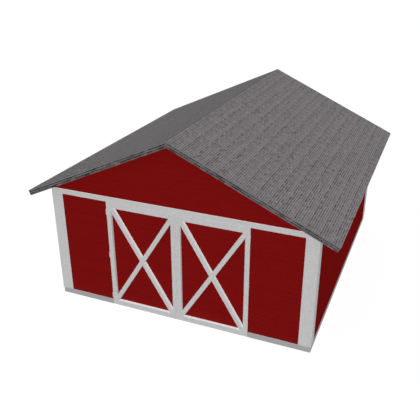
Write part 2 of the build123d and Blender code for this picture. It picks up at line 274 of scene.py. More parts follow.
def weathered(tree, place, colour, look):
    # worn along the edges, and dusty near the ground where the look says so
    edge = attribute(tree, "edge")
    worn = useGroup(tree, edgeWear, Edge=edge, Vector=place, Amount=look["wear"], Patch=look["wearPatch"])
    colour = blendColour(tree, times(tree, worn["Mask"], look["wearDepth"]), colour, look["wornColour"])
    if "dust" not in look:
        return colour
    dust = useGroup(tree, groundDust, Vector=place, Reach=look["dustReach"], Amount=look["dust"])
    return blendColour(tree, dust["Mask"], colour, look["dustColour"])


def grained(tree, look):
    # the grain, and what it and each board's own tone do to the colour
    grainPlace = attribute(tree, "grain", "Vector")
    grain = useGroup(tree, boardGrain, Vector=grainPlace, Length=look["length"], Width=look["width"])
    streaks = varied(tree, grain["Streaks"], look["streaks"])
    fibres = varied(tree, grain["Fibres"], look["fibres"])
    boards = spread(tree, attribute(tree, "tone"), -1.0, 1.0, 1 - look["boards"], 1 + look["boards"])
    return grain, (streaks, fibres, boards)


def paintMaterial(name, look):
    material, tree = newMaterial(name)
    place = objectPlace(tree)
    grain, factors = grained(tree, look)
    colour = toned(tree, look["colour"], *factors, clouded(tree, place, look["cloudSize"], look["clouds"]))
    colour = weathered(tree, place, colour, look)
    relief = maths(tree, "ADD", grain["Streaks"], times(tree, grain["Fibres"], look["reliefMix"]))
    return finishMaterial(material, look, colour, relief, grain["Streaks"])


redPaint = paintMaterial("redPaint", {
    "colour": (0.168, 0.0046, 0.0046),
    "gloss": 0.0, "rough": (0.78, 0.92),
    "length": 0.22, "width": 0.028, "streaks": 0.07, "fibres": 0.05, "relief": 0.0007, "reliefMix": 0.5,
    "boards": 0.02, "cloudSize": 0.9, "clouds": 0.05,
    "wear": 0.45, "wearPatch": 0.12, "wearDepth": 0.3, "wornColour": (0.22, 0.03, 0.02),
    "dust": 0.12, "dustReach": 0.5, "dustColour": (0.16, 0.045, 0.03),
})

whitePaint = paintMaterial("whitePaint", {
    "colour": (0.497, 0.497, 0.497),
    "gloss": 0.005, "rough": (0.68, 0.82),
    "length": 0.3, "width": 0.03, "streaks": 0.035, "fibres": 0.03, "relief": 0.0006, "reliefMix": 0.5,
    "boards": 0.01, "cloudSize": 0.06, "clouds": 0.18,
    "wear": 0.4, "wearPatch": 0.12, "wearDepth": 0.3, "wornColour": (0.36, 0.34, 0.31),
    "dust": 0.09, "dustReach": 0.35, "dustColour": (0.3, 0.28, 0.25),
})


def timberMaterial(name, look):
    material, tree = newMaterial(name)
    grain, factors = grained(tree, look)
    colour = toned(tree, blendColour(tree, grain["Rings"], look["early"], look["late"]), *factors)
    knotPlace = divided(tree, attribute(tree, "grain", "Vector"), look["knotSpacing"])
    middles = addNode(tree, "TexVoronoi", Vector=knotPlace, Scale=1.0).outputs["Distance"]
    knots = spread(tree, middles, *look["knotEdges"], look["knots"], 0.0, True)
    colour = blendColour(tree, knots, colour, look["knotColour"])
    colour = weathered(tree, objectPlace(tree), colour, look)
    relief = maths(tree, "ADD", grain["Fibres"], times(tree, grain["Rings"], look["reliefMix"]))
    return finishMaterial(material, look, colour, relief, grain["Rings"], (0, 1))


timberLook = {
    "early": (0.52, 0.36, 0.20), "late": (0.42, 0.27, 0.14),
    "gloss": 0.2, "rough": (0.75, 0.63),
    "length": 0.9, "width": 0.022, "streaks": 0.12, "fibres": 0.08, "boards": 0.12,
    "relief": 0.0004, "reliefMix": 0.3,
    "knots": 0.8, "knotSpacing": (0.9, 0.16, 0.16), "knotEdges": (0.04, 0.1),
    "knotColour": (0.14, 0.07, 0.035),
    "wear": 0.5, "wearPatch": 0.08, "wearDepth": 0.35, "wornColour": (0.3, 0.2, 0.11),
}
timber = timberMaterial("timber", timberLook)

deckBoards = timberMaterial("deckBoards", {
    **timberLook,
    "early": (0.46, 0.33, 0.20), "late": (0.36, 0.24, 0.13),
    "gloss": 0.15, "rough": (0.82, 0.70),
    "length": 0.8, "width": 0.02, "streaks": 0.14, "fibres": 0.12, "relief": 0.0006, "boards": 0.16,
    "knotColour": (0.12, 0.06, 0.03), "wornColour": (0.26, 0.18, 0.1),
})

courseHeight = 0.0555  # of one course of shingles


def shingleMaterial(name, look):
    # the grain attribute runs along the course in X and ends at 0 on the butt in Y
    material, tree = newMaterial(name)
    grainPlace = attribute(tree, "grain", "Vector")
    toButt = addNode(tree, "SeparateXYZ", Vector=grainPlace).outputs["Y"]
    granules = noise(tree, grainPlace, look["granuleScale"], 2.0, 0.7)
    blots = noise(tree, grainPlace, look["blotScale"], 3.0, 0.6)
    colour = blendColour(tree, blots, look["cool"], look["warm"])
    # the painted shadow under the butt above lies in broken dashes
    dashes = noise(tree, divided(tree, grainPlace, look["dashSize"]), 1.0, 1.0, 0.5)
    dashes = spread(tree, dashes, *look["dashEdges"], look["dashLow"], 1.0, True)
    darkest, clear = (reach - courseHeight for reach in look["shadeReach"])
    nearTop = spread(tree, toButt, darkest, clear, look["shade"], 0.0, True)
    shadow = times(tree, times(tree, nearTop, dashes), attribute(tree, "shade"))
    colour = toned(
        tree, colour,
        maths(tree, "ADD", 1.0, attribute(tree, "tone")),
        maths(tree, "SUBTRACT", 1.0, shadow),
        spread(tree, toButt, -look["buttDepth"], 0.0, 1.0, 1 - look["buttShade"], True),
        clouded(tree, objectPlace(tree), look["cloudSize"], look["clouds"]),
        varied(tree, granules, look["granules"]),
        varied(tree, blots, look["blots"]),
    )
    # dark joints at the tabs' ends; the butts are darkened in step with the tab's shade, painted shade for
    # the shadow line under each course
    sides = times(tree, attribute(tree, "edge"), look["edgeDepth"])
    colour = blendColour(tree, sides, colour, look["edgeColour"])
    relief = maths(tree, "ADD", granules, times(tree, blots, look["reliefMix"]))
    return finishMaterial(material, look, colour, relief, granules, (0.2, 0.8))


shingleLook = {
    "cool": (0.128, 0.127, 0.129), "warm": (0.142, 0.125, 0.129),
    "gloss": 0.003, "rough": (0.82, 0.96), "relief": 0.0008, "reliefMix": 0.6,
    "granules": 0.16, "granuleScale": 420.0,
    "blots": 0.06, "blotScale": 38.0,
    "shade": 0.66, "shadeReach": (0.024, 0.036),  # full and none, from the top of the course
    "dashSize": (0.05, 0.3, 0.3), "dashEdges": (0.44, 0.56), "dashLow": 0.3,
    "buttDepth": 0.006, "buttShade": 0.1,
    "cloudSize": 2.2, "clouds": 0.03,
    # darkening of the tabs' ends and butts; on the butts it is painted shade
    "edgeDepth": 0.85, "edgeColour": (0.045, 0.043, 0.044),
}
shingles = shingleMaterial("shingles", shingleLook)
edgeShingles = shingleMaterial("edgeShingles", {
    **shingleLook,
    "shade": 0.95, "shadeReach": (0.016, 0.028),
    "dashSize": (0.035, 0.3, 0.3), "dashLow": 0.45,
    "blots": 0.12,
})


def concreteMaterial(name, look):
    material, tree = newMaterial(name)
    place = objectPlace(tree)
    sand = noise(tree, place, look["sandScale"], 3.0, 0.7)
    clouds = [clouded(tree, place, size, look["clouds"]) for size in look["cloudSizes"]]
    colour = toned(tree, look["colour"], *clouds, varied(tree, sand, look["sand"]))
    pores = addNode(tree, "TexVoronoi", Vector=place, Scale=look["pitScale"]).outputs["Distance"]
    pits = spread(tree, pores, *look["pitEdges"], 1.0, 0.0, True)
    colour = blendColour(tree, times(tree, pits, look["pits"]), colour, look["pitColour"])
    colour = weathered(tree, place, colour, look)
    relief = maths(tree, "SUBTRACT", times(tree, sand, look["reliefMix"]), pits)
    return finishMaterial(material, look, colour, relief, sand)


concrete = concreteMaterial("concrete", {
    "colour": (0.340, 0.337, 0.339),
    "gloss": 0.03, "rough": (0.8, 0.95), "relief": 0.0012, "reliefMix": 0.4,
    "sand": 0.05, "sandScale": 260.0, "clouds": 0.02, "cloudSizes": (0.45, 1.7),
    "pits": 0.3, "pitScale": 34.0, "pitEdges": (0.05, 0.13), "pitColour": (0.2, 0.195, 0.19),
    "wear": 0.5, "wearPatch": 0.06, "wearDepth": 0.4, "wornColour": (0.40, 0.395, 0.39),
    "dust": 0.12, "dustReach": 0.07, "dustColour": (0.28, 0.26, 0.235),
})


def hingeMaterial(name, look):
    material, tree = newMaterial(name)
    place = objectPlace(tree)
    runs = noise(tree, place, look["runScale"], 3.0, 0.6)
    flakes = noise(tree, place, look["chipScale"], 4.0, 0.7)
    chips = spread(tree, flakes, *look["chipEdges"], 0.0, 1.0, True)
    colour = toned(tree, look["colour"], spread(tree, runs, *noiseRange, *look["runs"]))
    colour = blendColour(tree, times(tree, chips, look["chips"]), colour, look["chipColour"])
    return finishMaterial(material, look, colour, runs, runs)


hingePaint = hingeMaterial("hingePaint", {
    "colour": (0.49, 0.49, 0.48),
    "gloss": 0.3, "rough": (0.4, 0.6), "relief": 0.0003,
    "runs": (0.94, 1.05), "runScale": 90.0,
    "chips": 0.6, "chipScale": 160.0, "chipEdges": (0.62, 0.68), "chipColour": (0.2, 0.13, 0.1),
})
print("materials ready")

upward, sideways, endways = Vector((0, 0, 1)), Vector((1, 0, 0)), Vector((0, 1, 0))
bothSides = ((-1, "left"), (1, "right"))
grainReach = (40, 9, 9)  # along, across and out of a board


def within(reach):
    return rng.uniform(-reach, reach)


def grainShift():
    # each board is cut from another part of the wood
    return Vector([within(reach) for reach in grainReach])


perFace = ("faces", "tone", "shade", "edge", "finish")


def newPile():
    # points with their grain, and faces with what is told of each
    return {name: [] for name in ("points", "grain", *perFace)}


def addFace(pile, *facts):
    for name, fact in zip(perFace, facts):
        pile[name].append(fact)


def addPrism(
    pile, place, section, start, end, tone=None, shade=0.0,
    edges=None, plain=(), finishes=None, grainAxes=None, shift=None,
):
    # section lists (across, out) corners; start and end are numbers or functions of a corner
    # faces are counted round the section, then its start and end: edges says how worn each is
    # or how dark with painted shade, plain lists those without painted shade, finishes gives their materials
    origin, along, across, out = place
    axes = grainAxes or (along, across, out)
    tone = within(1) if tone is None else tone
    shift = shift or grainShift()
    first = len(pile["points"])
    for limit in (start, end):
        for v, w in section:
            u = limit(v, w) if callable(limit) else limit
            point = origin + along * u + across * v + out * w
            pile["points"].append(point)
            local = point - origin
            pile["grain"].append([local.dot(axis) + move for axis, move in zip(axes, shift)])
    n = len(section)
    rightHanded = along.cross(across).dot(out) > 0
    area = sum(a[0] * b[1] - a[1] * b[0] for a, b in zip(section, section[1:] + section[:1]))
    flip = (area > 0) != rightHanded
    near = list(range(first, first + n))
    loops = [[a, b, b + n, a + n] for a, b in zip(near, near[1:] + near[:1])]
    loops += [near[::-1], [a + n for a in near]]
    edges = edges or {}
    finishes = finishes or [0] * (n + 2)
    for i, loop in enumerate(loops):
        ownShade = 0.0 if i in plain else shade
        addFace(pile, loop[::-1] if flip else loop, tone, ownShade, edges.get(i, 0.0), finishes[i])


def writeAttributes(mesh, grain, **ofFaces):
    layer = mesh.attributes.new("grain", "FLOAT_VECTOR", "POINT")
    layer.data.foreach_set("vector", [c for p in grain for c in p])
    for name, values in ofFaces.items():
        mesh.attributes.new(name, "FLOAT", "FACE").data.foreach_set("value", values)


def finishPiece(mesh, body, node, materials):
    for material in materials:
        mesh.materials.append(material)
    piece = newObject(mesh.name, mesh)
    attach(piece, body)
    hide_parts(node)
    return piece


def pileToPiece(pile, name, slot, node, *materials, body="barn"):
    mesh = bpy.data.meshes.new(name)
    mesh.from_pydata(pile["points"], [], pile["faces"])
    writeAttributes(mesh, pile["grain"], tone=pile["tone"], shade=pile["shade"], edge=pile["edge"])
    piece = finishPiece(mesh, body, node, materials)
    mesh.polygons.foreach_set("material_index", pile["finish"])
    mesh.update()
    print(name, len(mesh.polygons), "faces")
    return piece


def circle(radius, sides):
    turns = [math.tau * i / sides for i in range(sides)]
    return [(radius * math.cos(turn), radius * math.sin(turn)) for turn in turns]


def levels(node, axis, apart=0.0005):
    # the distinct places along an axis where a frame node has corners
    found = sorted(v.co[axis] for v in nodes[node].data.vertices)
    return found[:1] + [b for a, b in zip(found, found[1:]) if b - a > apart]


def innerHalf(node):
    # half the width of what a node leaves open in the middle
    return min(x for x in levels(node, 0) if x > 0)


def camelName(name):
    first, *rest = name.split("_")
    return first + "".join(word.capitalize() for word in rest)


easing = {
    "concrete": 0.006,
    "white_paint": 0.002,
    "timber": 0.0015,
    "weld": 0.00002,  # corners nearer than this are one
    "flat": math.radians(0.5),  # faces within this angle are one
    "square": 0.1,  # faces this near to square to the grain lie beside it
    "sharp": 0.4,  # edges over these radians are eased
}


def looseParts(work):
    # the corners of each separate solid
    seen = set()
    for seed in work.verts:
        if seed in seen:
            continue
        island, queue = [], [seed]
        seen.add(seed)
        while queue:
            vert = queue.pop()
            island.append(vert)
            for edge in vert.link_edges:
                other = edge.other_vert(vert)
                if other not in seen:
                    seen.add(other)
                    queue.append(other)
        yield island


def boardAxes(island):
    # along the longest edge, and out of the widest face beside it
    longest = max((e for v in island for e in v.link_edges), key=lambda e: e.calc_length())
    along = (longest.verts[1].co - longest.verts[0].co).normalized()
    beside = (f for v in island for f in v.link_faces if abs(f.normal.dot(along)) < easing["square"])
    out = max(beside, key=lambda f: f.calc_area()).normal.copy()
    return along, out.cross(along), out


def easedPiece(node, slot, material, body="barn"):
    # the frame's own shape with its outer edges eased
    work = bmesh.new()
    work.from_mesh(nodes[node].data)
    bmesh.ops.remove_doubles(work, verts=work.verts, dist=easing["weld"])
    bmesh.ops.dissolve_limit(work, angle_limit=easing["flat"], verts=work.verts, edges=work.edges)
    outer = [
        e for e in work.edges
        if len(e.link_faces) == 2 and e.is_convex and e.calc_face_angle(0) > easing["sharp"]
    ]
    made = bmesh.ops.bevel(
        work, geom=outer, offset=easing[slot], segments=1, profile=0.5, affect="EDGES", clamp_overlap=True,
    )
    work.faces.index_update()
    work.verts.index_update()
    eased = {f.index for f in made["faces"]}
    grain = [None] * len(work.verts)
    tone = [0.0] * len(work.faces)
    for island in looseParts(work):
        axes = boardAxes(island)
        shift = grainShift()
        boardTone = within(1)
        for vert in island:
            grain[vert.index] = [vert.co.dot(axis) + move for axis, move in zip(axes, shift)]
            for face in vert.link_faces:
                tone[face.index] = boardTone
    mesh = bpy.data.meshes.new(camelName(node))
    edge = [float(f.index in eased) for f in work.faces]
    work.to_mesh(mesh)
    work.free()
    writeAttributes(mesh, grain, tone=tone, edge=edge)
    return finishPiece(mesh, body, node, [material])


faceX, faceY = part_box("right_wall_frame")[1].x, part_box("rear_wall_frame")[1].y
paintMargin = 0.001  # the paint starts this far from the frames' faces
frameFaces = ((-sideways, faceX), (sideways, faceX), (-endways, faceY), (endways, faceY))


def paintOutside(piece, paint, beyond=-paintMargin):
    # whatever stands out beyond the wall frames is painted
    mesh = piece.data
    mesh.materials.append(paint)
    work = bmesh.new()
    work.from_mesh(mesh)
    for normal, reach in frameFaces:
        geometry = [*work.verts, *work.edges, *work.faces]
        cut = normal * (reach + beyond)
        bmesh.ops.bisect_plane(work, geom=geometry, dist=easing["weld"], plane_co=cut, plane_no=normal)
    for face in work.faces:
        middle = face.calc_center_median()
        if any(middle.dot(normal) > reach + beyond for normal, reach in frameFaces):
            face.material_index = len(mesh.materials) - 1
    work.to_mesh(mesh)
    work.free()


for node in ("foundation_sides", "foundation_ends", "floor_slab"):
    easedPiece(node, "concrete", concrete)
print("foundation ready")

cladding = {
    "pitch": 0.1382,  # from one board to the next
    "joint": 0.0012,  # open joint between two boards
    "jointDepth": 0.007,
    "ease": 0.0012,  # eased edge on the face
    "shortest": 1.2,
    "longest": 4.9,
    "thinnest": 0.006,  # of the strip left at the top
    "narrowest": 0.012,  # of the strips beside the ridge board
}
nails = {
    "radius": 0.0032,
    "sides": 6,
    "height": 0.0006,
    "buried": 0.0005,
    "fromEdge": 0.03,  # of its board
    "fromEnd": 0.02,
    "clear": 0.012,  # from the top and the foot of the wall
    "stray": 0.004,
}
cutting = {
    "over": 2.6,  # rows over this many shortest boards may be cut
    "chance": 0.5,
}


def straight(start, end):
    # a wall that starts and ends the same at every height
    return lambda z: (start, end)


def cutRow(start, end, joints, sizes):
    # cuts a row into boards that meet over the joints given
    def fits(left, longest):
        return [j for j in joints if sizes["shortest"] < j - left < longest and end - j > sizes["shortest"]]

    cuts = [start]
    while end - cuts[-1] > sizes["longest"]:
        cuts.append(rng.choice(fits(cuts[-1], sizes["longest"])))
    if len(cuts) == 1 and end - start > cutting["over"] * sizes["shortest"]:
        places = fits(start, end - start)
        if places and rng.random() < cutting["chance"]:
            cuts.append(rng.choice(places))
    return [*cuts, end]


def boardSection(low, high, thickness, bothFaces):
    # the boards touch and leave the joint open on the face; gives the eased sides too
    joint, deep, ease = cladding["joint"], cladding["jointDepth"], cladding["ease"]
    lowFace, highFace = low + joint / 2, high - joint / 2
    front = [
        (high, -deep), (highFace, -deep), (highFace, -ease), (highFace - ease, 0),
        (lowFace + ease, 0), (lowFace, -ease), (lowFace, -deep), (low, -deep),
    ]
    if not bothFaces:
        return [(low, -thickness), (high, -thickness), *front], (4, 6)
    back = [(v, -thickness - w) for v, w in reversed(front)]
    return [*back, *front], (2, 4, 10, 12)


def layBoards(pile, place, thickness, bottom, top, limits, joints, firstLine=None, bothFaces=False):
    # horizontal boards over a face; limits(z) is where the course at that height starts and ends
    def meeting(at, way):
        # the same joint between the ends of two boards
        return lambda v, w: at + way * cladding["joint"] / 2 * (1 + w / thickness)

    line = bottom if firstLine is None else firstLine
    while line < top:
        low, high = max(line, bottom), min(line + cladding["pitch"], top)
        line += cladding["pitch"]
        if high - low < cladding["thinnest"]:
            continue
        section, eased = boardSection(low, high, thickness, bothFaces)
        start, end = limits(low), limits(high)
        cuts = cutRow(min(start[0], end[0]), max(start[1], end[1]), joints, cladding)
        for left, right in zip(cuts, cuts[1:]):
            begin = (lambda v, w: limits(v)[0]) if left == cuts[0] else meeting(left, 1)
            finish = (lambda v, w: limits(v)[1]) if right == cuts[-1] else meeting(right, -1)
            addPrism(
                pile, place, section, begin, finish,
                edges=dict.fromkeys(eased, 1.0), finishes=[1] + [0] * (len(section) + 1),
            )


def nailRows(pile, place, bottom, top, limits, studs, firstLine=None):
    # two nails a board over each stud
    origin, along, up, out = place
    section = circle(nails["radius"], nails["sides"])
    line = bottom if firstLine is None else firstLine
    while line < top:
        for rise in (nails["fromEdge"], cladding["pitch"] - nails["fromEdge"]):
            z = line + rise
            if z > top - nails["clear"] or z < bottom + nails["clear"]:
                continue
            start, end = limits(z)
            for stud in studs:
                if start + nails["fromEnd"] < stud < end - nails["fromEnd"]:
                    centre = origin + along * (stud + within(nails["stray"])) + up * z
                    nail = (centre, out, out.cross(up), -up)
                    addPrism(pile, nail, section, -nails["buried"], nails["height"], 0.0)
        line += cladding["pitch"]


thick = 0.038  # of studs, rafters and plates


def studMiddles(node, axis, slack=0.001):
    found = levels(node, axis)
    return [(a + b) / 2 for a, b in zip(found, found[1:]) if abs(b - a - thick) < slack]


sideStuds = studMiddles("left_wall_frame", 1)
rearStuds = studMiddles("rear_wall_frame", 0)
frontStuds = studMiddles("front_wall_frame", 0)
gableStuds = studMiddles("gable_frames", 0)

for name, out, studs in (
    ("left", -sideways, sideStuds),
    ("right", sideways, sideStuds),
    ("front", -endways, frontStuds),
    ("rear", endways, rearStuds),
):
    node = f"{name}_wall_siding"
    low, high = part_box(node)
    along = endways if out.x else sideways
    start, end = low.dot(along), high.dot(along)
    origin = out * max(low.dot(out), high.dot(out))
    spans, joints = [(start, end)], studs[1:-1]
    if name == "front":
        spans, joints = [(start, -innerHalf(node)), (innerHalf(node), end)], []
    pile = newPile()
    place = (origin, along, upward, out)
    for span in spans:
        layBoards(pile, place, abs((high - low).dot(out)), low.z, high.z, straight(*span), joints)
        nailRows(pile, place, low.z, high.z, straight(*span), studs)
    pileToPiece(pile, f"{name}WallBoards", "red_paint", node, redPaint, timber)

roof = {
    "pitch": math.radians(24.42),
    "shingle": 0.016,
    "deck": 0.019,
    "fascia": 0.025,
    "gableRail": 0.089,
    "ridgeBoard": 0.184,
}
slopeEnd, roofHalf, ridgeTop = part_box("right_roof_shingles")[1]
roofRise, cosPitch = math.tan(roof["pitch"]), math.cos(roof["pitch"])
slopeLength = slopeEnd / cosPitch
deckUnder = roof["shingle"] + roof["deck"]
ridgeLine = upward * ridgeTop


def roofHeight(x, depth):
    return ridgeTop - abs(x) * roofRise - depth / cosPitch


def roofHalfWidth(z, depth):
    return (ridgeTop - depth / cosPitch - z) / roofRise


def slopeAxes(side):
    sinPitch = math.sin(roof["pitch"])
    return Vector((side * cosPitch, 0, -sinPitch)), Vector((side * sinPitch, 0, cosPitch))


low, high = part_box("gable_siding")
gableHalf = high.x
notchHalf = innerHalf("gable_siding")


def gableLimits(z):
    # the gable wall at a height, below the roof boards
    half = max(min(roofHalfWidth(z, deckUnder), gableHalf), notchHalf)
    return (-half, half)


# its courses carry on those of the walls
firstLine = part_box("left_wall_siding")[0].z
while firstLine + cladding["pitch"] < low.z:
    firstLine += cladding["pitch"]
# the boards stop on both sides of the ridge board, and a short one fits below it
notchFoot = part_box("ridge_board")[0].z
lastLine = firstLine + cladding["pitch"] * math.floor((notchFoot - firstLine) / cladding["pitch"])
peak = roofHeight(notchHalf + cladding["narrowest"], deckUnder)
depth = levels("gable_siding", 1)[1] - low.y
pile = newPile()
for face, out in ((low.y, -endways), (high.y, endways)):
    place = (endways * face, sideways, upward, out)
    layBoards(pile, place, depth, low.z, lastLine, gableLimits, gableStuds[1:-1], firstLine)
    layBoards(pile, place, depth, lastLine, notchFoot, straight(-notchHalf, notchHalf), [])
    layBoards(pile, place, depth, lastLine, peak, lambda z: (notchHalf, gableLimits(z)[1]), [])
    layBoards(pile, place, depth, lastLine, peak, lambda z: (gableLimits(z)[0], -notchHalf), [])
    nailRows(pile, place, low.z, lastLine, gableLimits, gableStuds, firstLine)
pileToPiece(pile, "gableBoards", "red_paint", "gable_siding", redPaint, timber)
print("cladding ready")

for node in ("frieze_boards", "gable_corner_boards", "side_corner_boards"):
    paintOutside(easedPiece(node, "white_paint", timber), whitePaint, paintMargin)


def layStuds(pile, wall, studs):
    # each stud is its middle and the heights of its foot and top
    origin, along, out, depth = wall
    for middle, foot, top in studs:
        section = [(-thick / 2, 0), (thick / 2, 0), (thick / 2, depth), (-thick / 2, depth)]
        addPrism(pile, (origin + along * middle, upward, along, out), section, foot, top)


def layPlate(pile, wall, start, end, foot):
    origin, along, out, depth = wall
    section = [(foot, 0), (foot + thick, 0), (foot + thick, depth), (foot, depth)]
    addPrism(pile, (origin, along, upward, out), section, start, end)


def framePiece(pile, node):
    # the frame's outer faces show above the side boards, between the rafters
    paintOutside(pileToPiece(pile, camelName(node), "timber", node, timber), redPaint)


for node, along, out, studs in (
    ("left_wall_frame", endways, sideways, sideStuds),
    ("right_wall_frame", endways, sideways, sideStuds),
    ("rear_wall_frame", sideways, endways, rearStuds),
):
    low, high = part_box(node)
    wall = (out * low.dot(out), along, out, (high - low).dot(out))
    topPlates = high.z - 2 * thick
    pile = newPile()
    layStuds(pile, wall, [(s, low.z + thick, topPlates) for s in studs])
    for foot in (low.z, topPlates, topPlates + thick):
        layPlate(pile, wall, low.dot(along), high.dot(along), foot)
    framePiece(pile, node)

low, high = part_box("front_wall_frame")
wall = (endways * low.y, sideways, endways, high.y - low.y)
doorStud = innerHalf("front_wall_frame")
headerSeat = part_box("door_header")[0].z
topPlates = high.z - 2 * thick
tops = [headerSeat if abs(s) < doorStud + thick else topPlates for s in frontStuds]
pile = newPile()
layStuds(pile, wall, [(s, low.z + thick, top) for s, top in zip(frontStuds, tops)])
for side in (-1, 1):
    for inner, foot in (
        (doorStud, low.z),
        (doorStud + thick, topPlates),
        (doorStud + thick, topPlates + thick),
    ):
        start, end = sorted((side * inner, side * high.x))
        layPlate(pile, wall, start, end, foot)
framePiece(pile, "front_wall_frame")

# the gable frames: a plate, two rails under the roof boards and studs between them
low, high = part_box("gable_frames")
railUnder = deckUnder + roof["gableRail"]
sill = low.z + thick
depth = levels("gable_frames", 1)[1] - low.y
voidHalf = (roofHeight(0, railUnder) - sill) / roofRise
plateEnd = min(high.x, roofHalfWidth(sill, deckUnder))
pile = newPile()
for front in (low.y, high.y - depth):
    place = (endways * front, endways, sideways, upward)
    outline = [(-high.x, low.z), (high.x, low.z), (plateEnd, sill), (-plateEnd, sill)]
    addPrism(pile, place, outline, 0, depth, grainAxes=(sideways, upward, endways))
    for side in (-1, 1):
        outline = [
            (side * notchHalf, roofHeight(notchHalf, railUnder)),
            (side * voidHalf, sill),
            (side * high.x, sill),
            (side * high.x, roofHeight(high.x, deckUnder)),
            (side * notchHalf, roofHeight(notchHalf, deckUnder)),
        ]
        down, out = slopeAxes(side)
        addPrism(pile, place, outline, 0, depth, grainAxes=(down, out, endways))
    for middle in gableStuds:
        if abs(middle) > voidHalf - thick:
            continue
        left, right = middle - thick / 2, middle + thick / 2
        leftTop, rightTop = roofHeight(left, railUnder), roofHeight(right, railUnder)
        if abs(middle) < thick:
            leftTop = rightTop = roofHeight(notchHalf, deckUnder) - roof["ridgeBoard"]
        outline = [(left, sill), (right, sill), (right, rightTop), (left, leftTop)]
        addPrism(pile, place, outline, 0, depth, grainAxes=(upward, sideways, endways))
framePiece(pile, "gable_frames")
print("wall frames ready")

for node in ("tie_beams", "door_header", "door_jambs", "head_jamb"):
    easedPiece(node, "timber", timber)
for node in ("ridge_board", "rafters", "lookouts", "eave_blocks"):
    paintOutside(easedPiece(node, "timber", timber), redPaint)

boarding = {
    "width": 0.184,
    "gap": 0.003,
    "joint": 0.002,
    "shortest": 1.8,
    "longest": 4.9,
    "narrowest": 0.03,
}
rafterMiddles = studMiddles("rafters", 1)
deckEnd = slopeLength - roof["fascia"]

for side, name in bothSides:
    node = f"{name}_roof_deck"
    low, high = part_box(node)
    place = (ridgeLine, endways, *slopeAxes(side))
    pile = newPile()
    edge = deckEnd
    while edge > boarding["narrowest"]:
        top = max(edge - boarding["width"], 0)
        upper = top + boarding["gap"] / 2
        lower = edge - boarding["gap"] / 2 * (edge != deckEnd)
        # plumb where the two slopes meet at the ridge
        section = [
            (max(upper, deckUnder * roofRise), -deckUnder), (lower, -deckUnder),
            (lower, -roof["shingle"]), (max(upper, roof["shingle"] * roofRise), -roof["shingle"]),
        ]
        cuts = cutRow(low.y, high.y, rafterMiddles, boarding)
        joint = boarding["joint"] / 2
        for start, end in zip(cuts, cuts[1:]):
            addPrism(pile, place, section, start + joint * (start != low.y), end - joint * (end != high.y))
        edge = top
    paintOutside(pileToPiece(pile, f"{name}RoofBoards", "deck_boards", node, deckBoards), redPaint)
print("roof boards ready")

tabs = {
    "width": 0.1669,
    "phase": 0.25,  # of a tab, on the slopes
    "gap": 0.003,
    "thick": 0.0031,
    "rise": 0.0026,  # of a butt above the course below it
    "lap": 0.012,
    "start": 0.006,  # the first course is this much taller
    "under": 0.0045,  # top of the layer under the tabs, below the face
    "narrowest": 0.012,
    "lift": (0.0001, 0.0010),
    "drop": 0.0012,
    "carried": 0.5,  # share of the dark tabs that pass it on to the tab below
    "stray": 0.03,
    # the tabs are a blend that comes back every six courses and every two tabs
    "shades": (0.65, 1.05, 0.95, 0.85, 0.9, 0.65),
    "shadeSwing": (0.8, 1.1),
    "rows": (0.02, -0.02, -0.01, 0.0, 0.0, 0.03),
    "pair": 0.045,  # one tab of two is lighter
    "blend": 0.03,
}
slopeLooks = {
    # the left slope's lower tone is painted shade, standing in for the shadow bands its butts hide at a
    # grazing view
    "left": {"tone": -0.091, "swing": 0.008, "blend": 0.3, "dark": 0.008, "darker": (0.08, 0.26)},
    "right": {"tone": 0.0, "swing": 0.034, "blend": 1.0, "dark": 0.028, "darker": (0.08, 0.26)},
}
blend = [[rng.gauss(way * tabs["pair"], tabs["blend"]) for way in (1, -1)] for row in tabs["rows"]]


def slopeLook(look, course, tab):
    # tone and shade of one tab
    row = course % len(blend)
    tone = rng.gauss(look["tone"], look["swing"]) + tabs["rows"][row] + look["blend"] * blend[row][tab % 2]
    return tone, tabs["shades"][row] * rng.uniform(*tabs["shadeSwing"])


def layTabs(pile, place, start, end, lines, look, lookOf, phase, lowest=-1.0):
    # courses of overlapping tabs; lines are the butts' distances, and the tabs lie just under the face
    darkAbove = []
    for course, (top, butt) in enumerate(zip(lines, lines[1:])):
        slope = tabs["rise"] / (butt - top)
        lap = min(tabs["lap"], top - lines[0])
        first = start - (course % 2 * 0.5 + phase) * tabs["width"]
        darkHere = []
        for tab in range(math.ceil((end - first) / tabs["width"])):
            left = max(first + tab * tabs["width"], start)
            right = min(first + (tab + 1) * tabs["width"], end)
            if right - left < tabs["narrowest"]:
                continue
            tone, shade = lookOf(look, course, tab)
            passed = [depth for spot, depth in darkAbove if left < spot < right]
            if passed and rng.random() < tabs["carried"]:
                tone -= passed[0]
            elif rng.random() < look["dark"]:
                spot = (left + right) / 2 + within(tabs["stray"])
                darkHere.append((spot, rng.uniform(*look["darker"])))
                tone -= darkHere[-1][1]
            lift = rng.uniform(*tabs["lift"])
            foot = butt if butt == lines[-1] else butt + within(tabs["drop"])
            topOut = -lift - tabs["rise"] - slope * lap
            section = [
                (top - lap, max(topOut - tabs["thick"], lowest)), (foot, max(-lift - tabs["thick"], lowest)),
                (foot, -lift), (top - lap, topOut),
            ]
            atStart, atEnd = left == start, right == end
            addPrism(
                pile, place, section,
                left if atStart else left + tabs["gap"] / 2, right if atEnd else right - tabs["gap"] / 2,
                tone, shade,
                # the butt is darkened in step with the tab's painted shade, the ends as dark joints
                edges={1: shade, 4: float(not atStart), 5: float(not atEnd)},
                plain=[4] * atStart + [5] * atEnd,
                shift=Vector((within(grainReach[0]), -butt, within(grainReach[0]))),
            )
        darkAbove = darkHere


